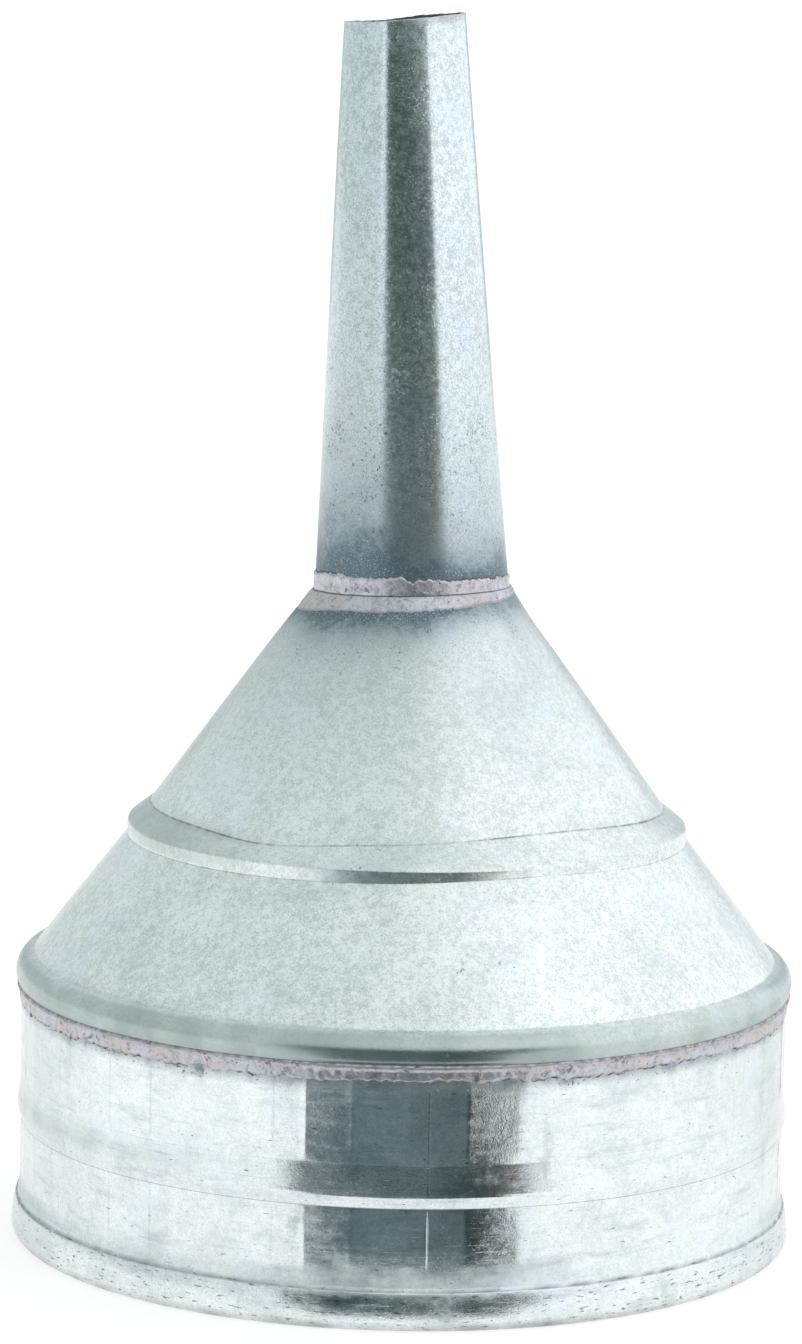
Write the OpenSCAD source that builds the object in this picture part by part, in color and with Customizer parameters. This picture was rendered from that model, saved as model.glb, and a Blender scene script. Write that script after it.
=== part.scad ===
// Galvanised fuel funnel: a soldered spout, cone and wired collar, with a push-in gauze strainer.
// Millimetres. The funnel stands on its mouth, as it is stored: the mouth is in the plane z = 0,
// centred on the origin, and the spout points up +Z.

/* [Sheet] */
// Thickness of the galvanised sheet
sheet_t = 0.5; // [0.4:0.05:0.7]
// Width of the lapped, soldered seams
lap_w = 7; // [5:0.5:10]
// How far the solder runs stand proud of the sheet
solder_t = 0.4; // [0.3:0.05:0.6]

/* [Collar] */
// Diameter of the mouth over the wired rim
mouth_d = 160; // [150:1:180]
// How far the rim bulges past the collar's wall
rim_bulge = 1.7; // [1.4:0.1:2.2]
// Height of the wired rim, up to its crease
rim_h = 7.9; // [7:0.1:10]
// How far, and over what height, the wall flares out above the crease
rim_flare = 0.55; // [0.3:0.05:0.8]
rim_flare_h = 5.1; // [4:0.1:6]
// Diameter of the wire inside the rim
rim_wire_d = 3.2; // [3:0.1:4]
// Height of the lower edge of the swaged bead round the collar
bead_z = 23.9; // [18:0.1:26]
// Height of the bead, from its sharp lower edge to the faint upper one
bead_h = 8.5; // [6:0.5:10]
// How far the bead stands out
bead_out = 0.65; // [0.4:0.05:0.9]

/* [Cone] */
// Height of the centre of the rounded shoulder
shoulder_z = 54.2; // [52:0.1:60]
// Radius of the rounded shoulder's section
shoulder_r = 4; // [3.5:0.1:4.5]
// How far the shoulder stands out past the collar's wall
shoulder_out = 1.1; // [0.9:0.1:1.4]
// Radius of the strainer seat, the short upright step in the cone
seat_r = 57.1; // [50:0.1:60]
// Height of the seat's lower edge
seat_z = 82.6; // [80:0.1:85]
// Height of the seat's upright wall
seat_h = 2; // [1.8:0.1:3]
// Radius and height where the seat runs back into the cone
seat_top_r = 52.4; // [48:0.1:54]
seat_top_z = 89.1; // [88:0.1:92]

/* [Spout] */
// Radius of the neck, where the cone meets the spout
neck_r = 20; // [18:0.1:22]
// Height of the neck
neck_z = 133.4; // [125:0.1:140]
// Outside radius of the spout at the neck
spout_base_r = 19.7; // [17:0.1:20]
// Outside radius of the spout at its tip
spout_tip_r = 12.1; // [10:0.1:14]
// Height of the spout above the neck
spout_len = 114.6; // [90:0.1:130]
// The spout was soldered on slightly askew: its lean towards -X, in degrees
spout_lean = 1.8; // [0:0.1:2]

/* [Strainer] */
// Gap between the strainer's rim and its seat
strainer_gap = 0.1; // [0.05:0.01:0.15]
// Thickness of the woven gauze
gauze_t = 0.4; // [0.3:0.05:0.6]
// Radius of the wire pull that the strainer is drawn out by
pull_r = 11; // [8:0.5:14]
// Diameter of the pull's wire
pull_wire_d = 2; // [1.6:0.1:2.5]

/* [Hidden] */
$fn = 180;
arc_step = 10;                     // degrees between points on an arc
close_gap = 0.1;                   // between lapped sheets, filled by a film of solder
wall_r = mouth_d / 2 - rim_bulge;  // outside of the collar's wall
curl_r = rim_wire_d / 2 + close_gap + sheet_t;
curl_c = [mouth_d / 2 - curl_r, curl_r - close_gap];  // the wire's centre; the curl is worn flat below
wear_a = acos(curl_c.y / curl_r);  // half angle of the flat that the rim stands on
skirt_r = wall_r + close_gap + sheet_t;
shoulder_c = [wall_r + shoulder_out - shoulder_r, shoulder_z];
skirt_a = -acos((skirt_r - shoulder_c.x) / shoulder_r);
skirt_z = shoulder_z + shoulder_r * sin(skirt_a);     // where the shoulder becomes an upright skirt
skirt_h = 1;
nose_r = 1.2;                      // rounding over the top of the seat
nose_c = [seat_r - nose_r, seat_z + seat_h];
flange_h = 5.5;                    // the cone's upturned neck, inside the spout
ledge_h = 0.2;                     // rise of the ledge that the spout's foot is soldered to
flange_r = spout_base_r - sheet_t - 0.4;
spout_foot = 0.9;                  // the foot sits this far above the neck, so the lean clears the cone
spout_taper = (spout_base_r - spout_tip_r) / spout_len;
front_seam_a = 274;                // the collar's seam, just right of the middle of the front
back_seam_a = 90;                  // the cone's and the spout's seams, at the back
channel_t = 0.5;                   // the strainer's brass strip
channel_w = 4;
strainer_r = seat_r - sheet_t - strainer_gap;
strainer_z = seat_z + 0.3;
channel_h = 3 * channel_t + gauze_t;
gauze_z = strainer_z + 2 * channel_t;
boss_r = 15;
boss_t = 0.8;

zinc = [0.78, 0.83, 0.84];
solder = [0.74, 0.70, 0.72];
brass = [0.72, 0.60, 0.35];
steel = [0.50, 0.52, 0.52];

// Points along an arc from angle a0 to a1, both ends included.
function arc(c, r, a0, a1) =
    let (steps = max(1, ceil(abs(a1 - a0) / arc_step)))
    [for (i = [0 : steps]) let (a = a0 + (a1 - a0) * i / steps) c + r * [cos(a), sin(a)]];

// Where a line from point p touches a circle, as an angle round its centre.
function tangent_angle(c, r, p) = atan2(p.y - c.y, p.x - c.x) - acos(r / norm(p - c));

// A path's points moved sideways by t, with mitred corners. Positive t is to the path's left.
function left_of(v) = [-v.y, v.x] / norm(v);
function mitre(a, b, c, t) =
    let (n = left_of(b - a), m = n + left_of(c - b))
    b + m * t / (m * n);
function beside(path, t) = let (last = len(path) - 1) [
    path[0] + t * left_of(path[1] - path[0]),
    for (i = [1 : last - 1]) mitre(path[i - 1], path[i], path[i + 1], t),
    path[last] + t * left_of(path[last] - path[last - 1]),
];
function reversed(path) = [for (i = [len(path) - 1 : -1 : 0]) path[i]];

// A strip of section between two distances left of a path, turned through an angle about the axis.
module turned_strip(path, t0, t1, from = 0, angle = 360)
    rotate([0, 0, from])
        rotate_extrude(angle = angle)
            polygon(concat(beside(path, t0), reversed(beside(path, t1))));

module turned_sheet(path) turned_strip(path, 0, sheet_t);

// The second layer of a lapped seam, and the solder run along its edge.
module lap(path, middle_a, r, inside = true) {
    half = lap_w / 2 / r * 180 / PI;
    far = inside ? 2 * sheet_t : -sheet_t;
    turned_strip(path, min(sheet_t / 2, far), max(sheet_t / 2, far), middle_a - half, 2 * half);
}
module seam_solder(path, middle_a, r, inside = true) {
    start = middle_a + lap_w / 2 / r * 180 / PI;
    t = inside ? sheet_t : 0;
    turned_strip(path, t, t + (inside ? solder_t : -solder_t), start, 2.5 / r * 180 / PI);
}

// The spout's frame, leaning about the middle of the neck.
module leaning()
    translate([0, 0, neck_z])
        rotate([0, -spout_lean, 0])
            children();

// Outside outlines, all drawn upwards, with the metal on their left.
rim_curl = concat(
    reversed(arc(curl_c, curl_r, -90 - wear_a, -265)),
    arc(curl_c, curl_r, -90 + wear_a, 0)
);
// Radius of an arc that starts upright and moves aside by out over a height h.
function sweep_r(h, out) = (h ^ 2 + out ^ 2) / 2 / out;
rim_swell_r = sweep_r(rim_h - curl_c.y, rim_bulge - rim_flare);
rim_swell = arc(
    [mouth_d / 2 - rim_swell_r, curl_c.y], rim_swell_r, 0, asin((rim_h - curl_c.y) / rim_swell_r)
);
wall_z = rim_h + rim_flare_h;      // where the collar's wall becomes upright
flare_r = sweep_r(rim_flare_h, rim_flare);
rim_flare_arc = arc([wall_r + flare_r, wall_z], flare_r, 180 + asin(rim_flare_h / flare_r), 180);
bead_nose_r = 1.6;
bead_nose = [wall_r + bead_out - bead_nose_r, bead_z + 2.6];
collar_wall = [
    [wall_r, wall_z + 0.3],
    [wall_r, bead_z],
    each arc(
        bead_nose, bead_nose_r,
        -tangent_angle([bead_nose.x, 0], bead_nose_r, [wall_r, bead_nose.y - bead_z]),
        tangent_angle(bead_nose, bead_nose_r, [wall_r, bead_z + bead_h])
    ),
    [wall_r, bead_z + bead_h],
    [wall_r, shoulder_z - 1.2],
];
function after_first(path) = [for (i = [1 : len(path) - 1]) path[i]];
collar_path = concat(rim_curl, after_first(rim_swell), after_first(rim_flare_arc), collar_wall);

cone_foot_a = 84;                  // where the cone meets the shoulder, round the shoulder's section
cone_foot = shoulder_c + shoulder_r * [cos(cone_foot_a), sin(cone_foot_a)];
shoulder_path = concat(
    [[skirt_r, skirt_z - skirt_h]],
    arc(shoulder_c, shoulder_r, skirt_a, cone_foot_a)
);
cone_low = [cone_foot, [seat_r, seat_z]];
function along(line, d) = line[0] + d * (line[1] - line[0]) / norm(line[1] - line[0]);
function shortened(line, low, high) = [along(line, low), along(reversed(line), high)];
cone_high = [[seat_top_r, seat_top_z], [neck_r, neck_z]];
seat_path = arc(nose_c, nose_r, 0, tangent_angle(nose_c, nose_r, [seat_top_r, seat_top_z]));
neck_path = [
    [flange_r, neck_z + ledge_h],
    [flange_r - spout_taper * flange_h, neck_z + ledge_h + flange_h],
];
cone_path = concat(
    shoulder_path, [[seat_r, seat_z]], seat_path, cone_high, neck_path
);

neck_band = 4.2;                   // width of the solder band on each side of the neck
neck_run = [along(reversed(cone_high), neck_band), cone_high[1]];
cone_low_seam = shortened(cone_low, 2, 3.5);          // clear of the strainer as it slides out
cone_high_seam = shortened(cone_high, 1, 1.5);

function spout_r(z) = spout_base_r - spout_taper * z;
spout_path = [[spout_r(spout_foot), spout_foot], [spout_tip_r, spout_len]];
spout_inner_foot = beside(spout_path, sheet_t)[0];

module spout()
    color(zinc)
        leaning()
            union() {
                turned_sheet(spout_path);
                lap([[spout_r(6), 6], [spout_r(spout_len), spout_len]], back_seam_a, 16, false);
            }

module spout_seam_solder()
    color(solder)
        leaning()
            seam_solder([[spout_r(6), 6], [spout_r(spout_len - 1), spout_len - 1]],
                back_seam_a, 16, false);

// The solder wraps the corner between the cone and the foot of the spout: a band up the spout,
// a band down the cone, and a fillet between them.
module neck_solder()
    color(solder)
        difference() {
            union() {
                leaning()
                    rotate_extrude()
                        polygon([
                            [flange_r, 0], [spout_r(0) + 1.6 * solder_t, 0.4],
                            [spout_r(neck_band) + solder_t, neck_band],
                            [spout_r(neck_band) - 0.1, neck_band + solder_t],
                            [flange_r, neck_band + solder_t],
                        ]);
                rotate_extrude()
                    polygon(concat(
                        [neck_run[0] - [0.3, 0.4]], beside(neck_run, -solder_t),
                        [[spout_r(0), neck_z + 1.2], [flange_r, neck_z + 1.2]]
                    ));
            }
            leaning()
                rotate_extrude()
                    polygon(concat(
                        [[0, spout_inner_foot.y], spout_inner_foot], spout_path, [[0, spout_len]]
                    ));
            rotate_extrude()
                polygon(concat(
                    [[0, seat_z]], [cone_path[len(shoulder_path)]], cone_high, neck_path,
                    [[0, neck_path[1].y]]
                ));
        }

module cone()
    color(zinc)
        union() {
            turned_sheet(cone_path);
            lap(cone_low_seam, back_seam_a, 66);
            lap(cone_high_seam, back_seam_a, 36);
        }

module cone_seam_solder()
    color(solder)
        union() {
            seam_solder(cone_low_seam, back_seam_a, 66);
            seam_solder(cone_high_seam, back_seam_a, 36);
        }

module shoulder_solder()
    color(solder)
        rotate_extrude()
            polygon([
                [wall_r, skirt_z - skirt_h - 2.4], [wall_r + solder_t, skirt_z - skirt_h - 1.8],
                [skirt_r + solder_t * 0.7, skirt_z - skirt_h - 0.3],
                [skirt_r + solder_t * 0.7, skirt_z - 0.6], [skirt_r, skirt_z - 0.2],
                [skirt_r, skirt_z - skirt_h], [wall_r, skirt_z - skirt_h],
            ]);

module collar()
    color(zinc)
        union() {
            turned_sheet(collar_path);
            lap(collar_wall, front_seam_a, wall_r);
        }

module collar_seam_solder()
    color(solder)
        seam_solder([[wall_r, wall_z + 1], [wall_r, bead_z]], front_seam_a, wall_r);

module rim_wire()
    color(steel)
        rotate_extrude()
            translate(curl_c)
                circle(d = rim_wire_d, $fn = 48);

// A brass channel, open inwards, that holds the gauze and its retaining ring.
module strainer_rim()
    color(brass)
        rotate_extrude()
            translate([strainer_r - channel_w, strainer_z])
                difference() {
                    square([channel_w, channel_h]);
                    translate([-1, channel_t])
                        square([channel_w - channel_t + 1, channel_h - 2 * channel_t]);
                    translate([-1, -1])
                        square([channel_w - 2 * channel_t, channel_t + 2]);
                }

module strainer_retainer()
    color(brass)
        rotate_extrude()
            translate([strainer_r - channel_w, strainer_z + channel_t])
                square([channel_w - channel_t, channel_t]);

module strainer_gauze()
    color(brass)
        translate([0, 0, gauze_z])
            cylinder(h = gauze_t, r = strainer_r - channel_t);

module strainer_boss()
    color(brass)
        translate([0, 0, gauze_z - boss_t])
            cylinder(h = boss_t, r = boss_r);

// A half loop of wire that hangs below the boss.
module strainer_pull()
    color(brass)
        translate([0, 0, gauze_z - boss_t])
            rotate([-90, 0, 0])
                rotate_extrude(angle = 180)
                    translate([pull_r, 0])
                        circle(d = pull_wire_d, $fn = 32);

spout();
spout_seam_solder();
neck_solder();
cone();
cone_seam_solder();
shoulder_solder();
collar();
collar_seam_solder();
rim_wire();
strainer_rim();
strainer_gauze();
strainer_retainer();
strainer_boss();
strainer_pull();
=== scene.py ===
"""Looks of a galvanised fuel funnel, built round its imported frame, in metres."""
import math

import bpy
import numpy as np
from bpy.props import FloatProperty, FloatVectorProperty, PointerProperty
from bpy.types import Operator, Panel, PropertyGroup
from mathutils import Euler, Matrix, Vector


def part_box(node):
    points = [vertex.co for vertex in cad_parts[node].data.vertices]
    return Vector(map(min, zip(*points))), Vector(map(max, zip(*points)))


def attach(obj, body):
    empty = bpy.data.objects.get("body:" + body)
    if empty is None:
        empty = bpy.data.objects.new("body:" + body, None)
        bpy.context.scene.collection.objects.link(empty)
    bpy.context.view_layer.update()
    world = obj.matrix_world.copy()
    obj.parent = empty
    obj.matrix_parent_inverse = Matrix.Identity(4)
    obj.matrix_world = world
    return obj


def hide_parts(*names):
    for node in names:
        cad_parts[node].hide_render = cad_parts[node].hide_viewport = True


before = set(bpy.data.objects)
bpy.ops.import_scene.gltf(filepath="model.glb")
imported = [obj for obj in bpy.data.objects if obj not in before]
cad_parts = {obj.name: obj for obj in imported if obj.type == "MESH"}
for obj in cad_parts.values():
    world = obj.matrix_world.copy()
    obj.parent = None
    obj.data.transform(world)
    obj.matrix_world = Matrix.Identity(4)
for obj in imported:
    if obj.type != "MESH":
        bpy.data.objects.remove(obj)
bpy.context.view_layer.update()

bl_info = {
    "name": "Galvanised Fuel Funnel",
    "version": (1, 0, 0),
    "blender": (4, 5, 0),
    "location": "3D View > Sidebar > Funnel",
    "description": "Builds the sheets, solder runs and strainer of a soldered fuel funnel",
    "category": "Add Mesh",
}

MM = 0.001
TURN = 2 * math.pi
ROUND = 480                 # points round a sheet
FRONT = -math.pi / 2        # the side towards -Y
BACK = math.pi / 2
SPOUT_MID = 16 * MM         # radius of the spout at half its height
LAP_GAP = 0.1 * MM          # between two lapped sheets
COLLAR_SEAM = 4             # degrees from the front to the collar's seam


def length(name, description, millimetres):
    """A length property whose default is given in millimetres."""
    return FloatProperty(name=name, description=description, default=millimetres * MM, unit="LENGTH",
                         precision=5)


def angle(name, description, degrees):
    """An angle property whose default is given in degrees."""
    return FloatProperty(name=name, description=description, default=math.radians(degrees),
                         subtype="ANGLE")


def colour(name, description, rgb):
    """A linear colour property."""
    return FloatVectorProperty(name=name, description=description, default=rgb, size=3,
                               subtype="COLOR", min=0.0, max=1.0)


class FunnelShape(PropertyGroup):
    """Sizes of the sheet-metal work. The mouth's radius comes from the frame."""
    mouth: length("Mouth radius", "Radius over the wired rim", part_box("collar")[1].x / MM)
    sheet: length("Sheet", "Thickness of the sheet", 0.5)
    rim_bulge: length("Rim bulge", "How far the rim bulges past the wall", 1.7)
    rim_h: length("Rim height", "Height of the wired rim, up to its crease", 7.9)
    rim_flare: length("Flare", "How far the wall flares out above the rim's crease", 0.55)
    rim_flare_h: length("Flare height", "Height of the flare above the rim's crease", 5.1)
    curl: length("Curl radius", "Radius of the curl round the rim's wire", 2.2)
    bead_z: length("Bead height", "Height of the bead's lower edge", 23.9)
    bead_h: length("Bead width", "From the bead's lower edge to its upper one", 8.5)
    bead_out: length("Bead depth", "How far the bead stands out", 0.65)
    shoulder_z: length("Shoulder height", "Height of the middle of the shoulder", 54.2)
    shoulder_r: length("Shoulder section", "Radius of the shoulder's section", 4.0)
    shoulder_out: length("Shoulder depth", "How far the shoulder stands out", 1.1)
    seat_r: length("Seat radius", "Radius of the strainer's seat", 57.1)
    seat_z: length("Seat height", "Height of the seat's lower edge", 82.6)
    seat_h: length("Seat wall", "Height of the seat's upright wall", 2.0)
    seat_top_r: length("Seat top radius", "Radius where the seat meets the cone", 52.4)
    seat_top_z: length("Seat top height", "Height where the seat meets the cone", 89.1)
    neck_r: length("Neck radius", "Radius where the cone meets the spout", 20.0)
    neck_z: length("Neck height", "Height where the cone meets the spout", 133.4)
    spout_base: length("Spout base", "Radius of the spout at the neck", 19.7)
    spout_tip: length("Spout tip", "Radius of the spout at its tip", 12.1)
    spout_len: length("Spout length", "Height of the spout above the neck", 114.6)
    lean: angle("Lean", "Lean of the spout towards -X", 1.8)
    lap: length("Lap", "Width of the lapped seams", 7.0)


class FunnelFinish(PropertyGroup):
    """Colours of the metals."""
    spout: colour("Spout zinc", "Weathered zinc of the spout", (0.74, 0.82, 0.83))
    cone: colour("Cone zinc", "Weathered zinc of the cone", (0.86, 0.93, 0.91))
    collar: colour("Collar zinc", "Brighter zinc of the collar", (0.85, 0.90, 0.92))
    # Painted shade: the patina also stands in for shade on the -X side and towards the sides of the sheets.
    patina_and_shade: colour("Patina", "Green-grey bloom on the zinc", (0.42, 0.50, 0.48))
    smear: colour("Smears", "Blue-grey smears on the collar", (0.40, 0.50, 0.56))
    # Painted shade: the scorch's blue-grey also stands in for shade on the -X side.
    scorch_and_shade: colour("Scorch", "Blue-grey of the zinc beside the solder", (0.13, 0.19, 0.23))
    # Painted shade: this brown also stands in for shade under the curl, over the rim's crease, inside the
    # spout's tip and above the neck solder.
    stain_and_shade: colour("Stain", "Grime in the creases", (0.15, 0.13, 0.12))
    solder: colour("Solder", "Soft solder", (0.62, 0.62, 0.68))
    solder_warm: colour("Warm solder", "Soft solder where it has yellowed", (0.58, 0.54, 0.54))
    brass: colour("Brass", "Strainer's brass", (0.60, 0.45, 0.21))
    wire: colour("Wire", "Steel wire in the rim", (0.34, 0.35, 0.35))


class FunnelStage(PropertyGroup):
    """Camera and light."""
    distance: length("Distance", "Camera's distance in front of the axis", 986)
    height: length("Height", "Camera's height", 259.7)
    pitch: angle("Pitch", "How far the camera looks down", 8.297)
    roll: angle("Roll", "Camera's roll", 1.116)
    pan: angle("Pan", "Camera's turn to the left", 0.105)
    lens: FloatProperty(name="Lens", description="Focal length in millimetres", default=131.05,
                        unit="CAMERA")
    glow: FloatProperty(name="Studio light", description="Strength of the light tent", default=1.10)


# ---- outlines ----

def arc(centre, radius, start, stop, step=6.0):
    """Points centre + radius * (cos a, sin a) for a from start to stop, in degrees."""
    count = max(2, math.ceil(abs(stop - start) / step) + 1)
    a = np.radians(np.linspace(start, stop, count))
    return np.array(centre) + radius * np.stack([np.cos(a), np.sin(a)], axis=1)


def unit(degrees):
    """The unit vector (cos a, sin a)."""
    return np.array([math.cos(math.radians(degrees)), math.sin(math.radians(degrees))])


def tangent_angle(centre, radius, point):
    """The angle, in degrees, at which a line from point touches a circle."""
    d = np.array(point) - np.array(centre)
    return math.degrees(math.atan2(d[1], d[0]) - math.acos(radius / math.hypot(*d)))


def sweep_r(height, out):
    """Radius of an arc that starts upright and moves aside by out over a height."""
    return (height ** 2 + out ** 2) / 2 / out


def beside(path, t):
    """The path moved t to its left: at each corner p + m t / (m.n), m the sum of the two normals."""
    d = np.diff(path, axis=0)
    n = np.stack([-d[:, 1], d[:, 0]], axis=1) / np.linalg.norm(d, axis=1)[:, None]
    before, after = np.vstack([n[:1], n]), np.vstack([n, n[-1:]])
    m = before + after
    return path + m * t / np.sum(m * before, axis=1)[:, None]


def fine(path, spacing, hold=0.12 * MM):
    """The path with more points: at every spacing, and two held close to each end of a long run."""
    rows = []
    for a, b in zip(path[:-1], path[1:]):
        run = math.dist(a, b)
        if run > 10 * hold:
            inner = np.linspace(3 * hold, run - 3 * hold, max(2, math.ceil(run / spacing) + 1))
            shares = np.concatenate([[0.0, hold], inner, [run - hold]]) / run
        else:
            shares = np.array([0.0])
        rows.append(np.array(a) + shares[:, None] * (np.array(b) - np.array(a)))
    return np.vstack(rows + [path[-1:]])


def smooth(x, low, high):
    """Smoothstep from 0 at low to 1 at high."""
    t = np.clip((x - low) / (high - low), 0, 1)
    return t * t * (3 - 2 * t)


def hump(x, middle, width):
    """A bell of height 1: exp(-((x - middle) / width)^2)."""
    return np.exp(-((x - middle) / width) ** 2)


def from_front(a):
    """The angle from the front in degrees, from -180 to 180, positive towards +X."""
    return np.degrees(np.mod(a - FRONT + math.pi, TURN) - math.pi)


def waver(a, seed, low, high, fall=1.0):
    """A closed wavy line round the axis: the sum of cos(k a + phase) / k^fall, scaled to about 1."""
    rng = np.random.default_rng(seed)
    k = np.arange(low, high + 1)
    phase = rng.uniform(0, TURN, len(k))
    size = rng.uniform(0.4, 1.0, len(k)) / k ** fall
    line = np.cos(np.asarray(a)[..., None] * k + phase) @ size
    return line / np.sqrt(np.sum(size ** 2))


def lumps(a, radius, h, seed, wave):
    """Lumps on a turned surface: the sum of cos(k a + m h + phase), k whole, so that it closes."""
    rng = np.random.default_rng(seed)
    total = 0.0
    for _ in range(18):
        turn, run = rng.uniform(0, math.pi), TURN / (wave * rng.uniform(0.6, 1.7))
        k = round(run * math.cos(turn) * radius)
        total = total + np.cos(k * a + run * math.sin(turn) * h + rng.uniform(0, TURN))
    return total / 3


def flat_edges(seed, count):
    """Where a rolled wall's flats meet: uneven angles round one turn."""
    widths = np.random.default_rng(seed).uniform(0.5, 1.6, count)
    return BACK + np.concatenate([[0], np.cumsum(widths) / widths.sum() * TURN])


def flats(edges, a, radius):
    """A wall rolled in flats in place of a true circle: radius (cos h / cos(a - middle) - 1 + h^2 / 3),
    h being half a flat's angle; the last term keeps its mean at zero."""
    i = np.clip(np.searchsorted(edges, a, side="right") - 1, 0, len(edges) - 2)
    half, middle = (edges[i + 1] - edges[i]) / 2, (edges[i + 1] + edges[i]) / 2
    return radius * (np.cos(half) / np.cos(a - middle) - 1 + half ** 2 / 3)


# ---- meshes ----

def put_mesh(name, points, faces):
    """A mesh and its object, in the scene."""
    mesh = bpy.data.meshes.new(name)
    mesh.from_pydata(points, [], faces)
    piece = bpy.data.objects.new(name, mesh)
    bpy.context.scene.collection.objects.link(piece)
    return piece


def put_grid(name, points, close_u=True, uv=None, masks=None):
    """A smooth mesh from a grid of points (u, v, 3), closed along v and, if asked, along u, with
    its faces turned outwards. uv gives each point's place on the sheet in metres, with one row and
    column more, where the grid closes. Masks are values from 0 to 1 at each point."""
    nu, nv = points.shape[:2]
    i = np.arange(nu if close_u else nu - 1)[:, None]
    j = np.arange(nv)[None, :]
    corner_u = np.stack(np.broadcast_arrays(i, i + 1, i + 1, i), axis=-1)
    corner_v = np.stack(np.broadcast_arrays(j, j, j + 1, j + 1), axis=-1)
    corner_u, corner_v = (c.reshape(-1, 4) for c in np.broadcast_arrays(corner_u, corner_v))
    faces = (corner_u % nu) * nv + corner_v % nv
    flat = points.reshape(-1, 3)
    p = flat[faces]
    volume = np.einsum("ij,ij->", p[:, 0], np.cross(p[:, 1], p[:, 2]) + np.cross(p[:, 2], p[:, 3]))
    if volume < 0:
        faces, corner_u, corner_v = faces[:, ::-1], corner_u[:, ::-1], corner_v[:, ::-1]
    piece = put_mesh(name, flat.tolist(), faces.tolist())
    mesh = piece.data
    if uv is not None:
        layer = mesh.uv_layers.new(name="Sheet")
        layer.data.foreach_set("uv", uv[corner_u, corner_v].astype(np.float32).ravel())
    for mask, values in (masks or {}).items():
        attribute = mesh.attributes.new(mask, "FLOAT", "POINT")
        values = np.broadcast_to(np.clip(values, 0, 1), points.shape[:2])
        attribute.data.foreach_set("value", values.astype(np.float32).ravel())
    mesh.shade_smooth()
    return piece


def capped(points):
    """The grid with one row more at each end, all of it at the end row's middle."""
    first, last = (np.broadcast_to(points[[i]].mean(axis=1, keepdims=True), points[:1].shape)
                   for i in (0, -1))
    return np.concatenate([first, points, last])


def turned(angles, r, z):
    """Points (r cos a, r sin a, z) for each angle and each point of a section."""
    a = np.asarray(angles)[:, None]
    return np.stack(np.broadcast_arrays(r * np.cos(a), r * np.sin(a), z), axis=-1)


def sheet_uv(angles, section, radius):
    """Places on the flattened sheet: the arc along the turn, and the way along the section."""
    loop = np.vstack([section, section[:1]])
    way = np.concatenate([[0], np.cumsum(np.linalg.norm(np.diff(loop, axis=0), axis=1))])
    u = (np.append(angles, angles[0] + TURN) - angles[0]) * radius
    return np.stack(np.broadcast_arrays(u[:, None], way[None, :]), axis=-1)


def around(count=ROUND):
    """Evenly spread angles, from the seams at the back round to just before them."""
    return BACK + np.arange(count) / count * TURN


def leaning(points, shape):
    """Points of the spout's own upright frame, leant about the middle of the neck towards -X."""
    c, s = math.cos(shape.lean), math.sin(shape.lean)
    x, z = points[..., 0], points[..., 2]
    return np.stack([x * c - z * s, points[..., 1], x * s + z * c + shape.neck_z], axis=-1)


def finished(piece, material, body, node):
    """Gives a piece its material, hangs it on its body and hides the frame's part that it stands for."""
    piece.data.materials.append(material)
    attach(piece, body)
    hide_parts(node)


# ---- materials ----

class Value:
    """A shader socket that takes part in arithmetic."""

    def __init__(self, nodes, socket):
        self.nodes, self.socket = nodes, socket

    def maths(self, operation, a, b):
        return self.nodes.node("Math", {"operation": operation}, {0: a, 1: b})

    def __add__(self, other):
        return self.maths("ADD", self, other)

    def __sub__(self, other):
        return self.maths("SUBTRACT", self, other)

    def __rsub__(self, other):
        return self.maths("SUBTRACT", other, self)

    def __mul__(self, other):
        return self.maths("MULTIPLY", self, other)

    def __truediv__(self, other):
        return self.maths("DIVIDE", self, other)

    def __rtruediv__(self, other):
        return self.maths("DIVIDE", other, self)

    def between(self, low, high):
        """0 below low, 1 above high, and smooth from one to the other."""
        return self.nodes.node("MapRange", {"interpolation_type": "SMOOTHSTEP"},
                               {"Value": self, "From Min": low, "From Max": high})

    __radd__ = __add__
    __rmul__ = __mul__


class Nodes:
    """A node tree that is written as expressions."""

    def __init__(self, owner):
        self.owner = owner
        owner.use_nodes = True
        self.tree = owner.node_tree
        self.tree.nodes.clear()

    def node(self, kind, settings=None, sockets=None, output=0):
        """A shader node of one kind: its settings first, then its sockets' values or links."""
        node = self.tree.nodes.new("ShaderNode" + kind)
        for key, value in (settings or {}).items():
            if key == "stops":
                for index, (place, rgb) in enumerate(value):
                    stops = node.color_ramp.elements
                    stop = stops[index] if index < len(stops) else stops.new(place)
                    stop.position, stop.color = place, (*rgb, 1.0)
            else:
                setattr(node, key, value)
        for key, value in (sockets or {}).items():
            if isinstance(value, Value):
                self.tree.links.new(value.socket, node.inputs[key])
            else:
                node.inputs[key].default_value = value
        return Value(self, node.outputs[output] if node.outputs else None)

    def along(self, axis, vector):
        """A vector's part along X, Y or Z."""
        return self.node("SeparateXYZ", {}, {0: vector}, output=axis)


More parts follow.
